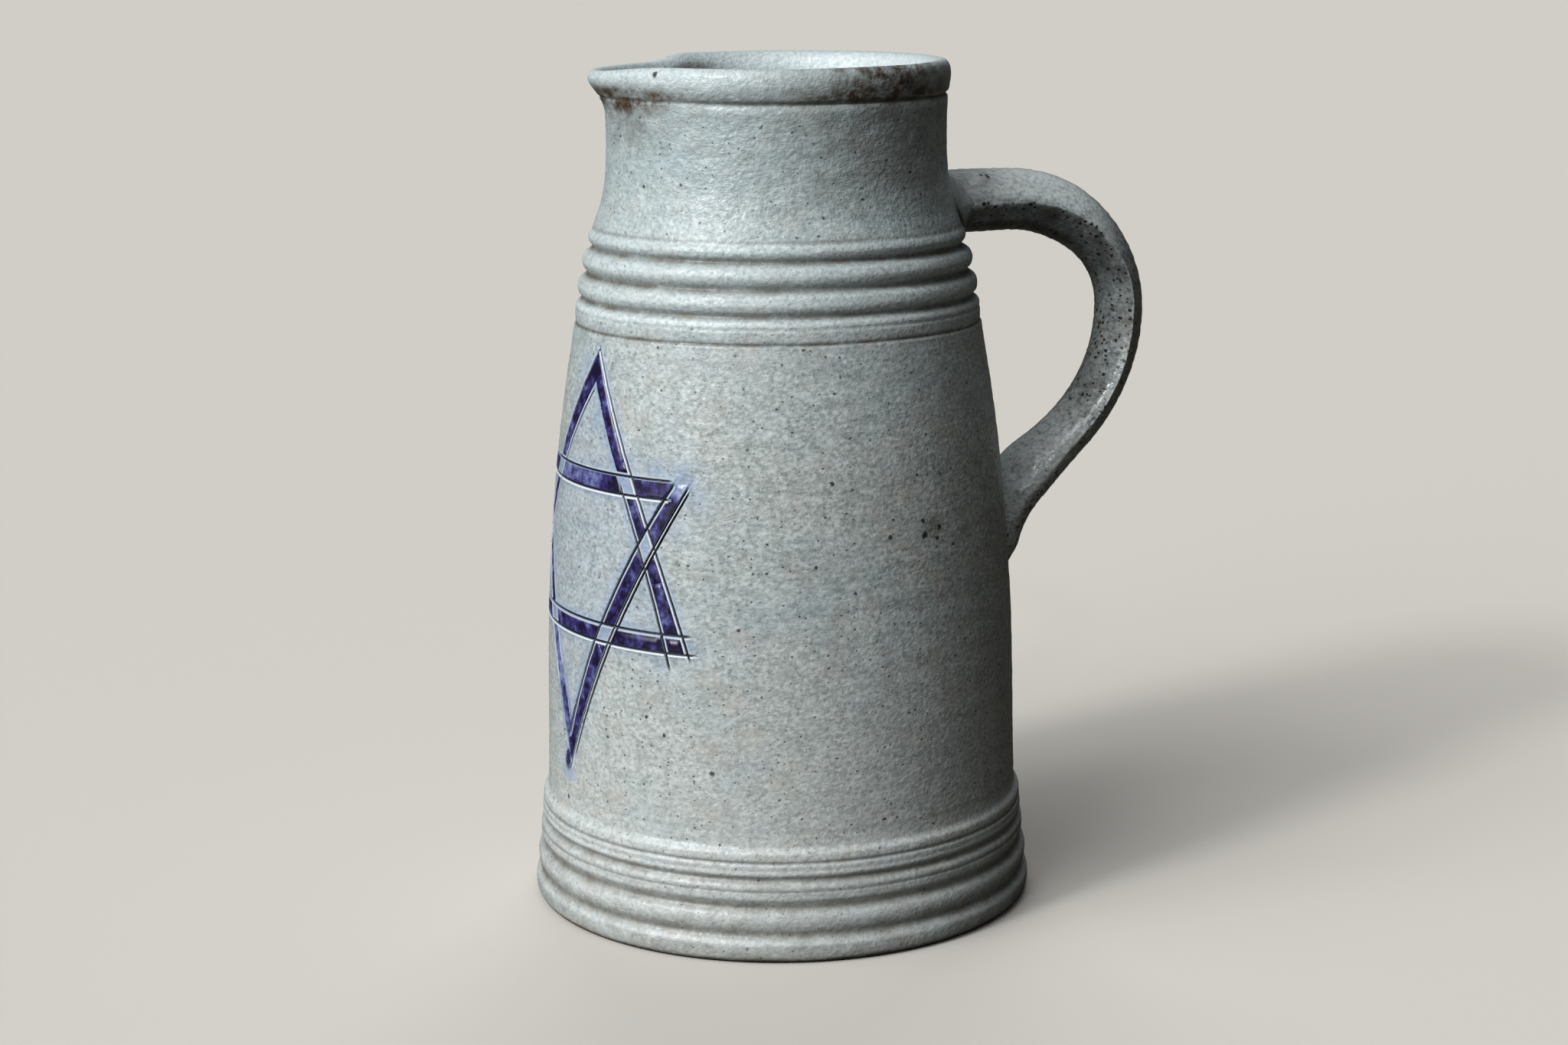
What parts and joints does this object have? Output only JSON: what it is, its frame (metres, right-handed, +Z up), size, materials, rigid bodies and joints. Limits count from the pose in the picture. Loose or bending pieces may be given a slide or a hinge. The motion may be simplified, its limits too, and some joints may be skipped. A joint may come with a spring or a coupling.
{
  "type": "stoneware pitcher",
  "caption": "Tapered salt-glazed stoneware pitcher with turned rings at foot and shoulder, a pulled lip, a strap handle and an incised cobalt star on the wall.",
  "frame": {"origin": "middle of the flat foot, on the surface that the pitcher stands on", "axes": "+Z up along the axis that the body was turned on, +X towards the handle, the lip towards -X"},
  "size_m": [0.1981, 0.1572, 0.26],
  "materials": {
    "salt_glazed_stoneware": "mottled grey salt glaze with an orange-peel skin and iron specks",
    "salt_glazed_handle": "grey salt glaze, glossier where it runs down the strap",
    "luting_slip": "fired clay slip under a thin salt glaze",
    "cobalt_smalt": "brushed cobalt colour under salt glaze"
  },
  "bodies": {
    "root": {"thrown_body": "salt_glazed_stoneware", "pulled_handle": "salt_glazed_handle", "upper_luting_slip": "luting_slip", "lower_luting_slip": "luting_slip", "cobalt_tip_1": "cobalt_smalt", "cobalt_tip_2": "cobalt_smalt", "cobalt_tip_3": "cobalt_smalt", "cobalt_tip_4": "cobalt_smalt", "cobalt_tip_5": "cobalt_smalt", "cobalt_tip_6": "cobalt_smalt", "cobalt_side_1": "cobalt_smalt", "cobalt_side_2": "cobalt_smalt", "cobalt_side_3": "cobalt_smalt", "cobalt_side_4": "cobalt_smalt", "cobalt_side_5": "cobalt_smalt", "cobalt_side_6": "cobalt_smalt"}
  },
  "joints": []
}
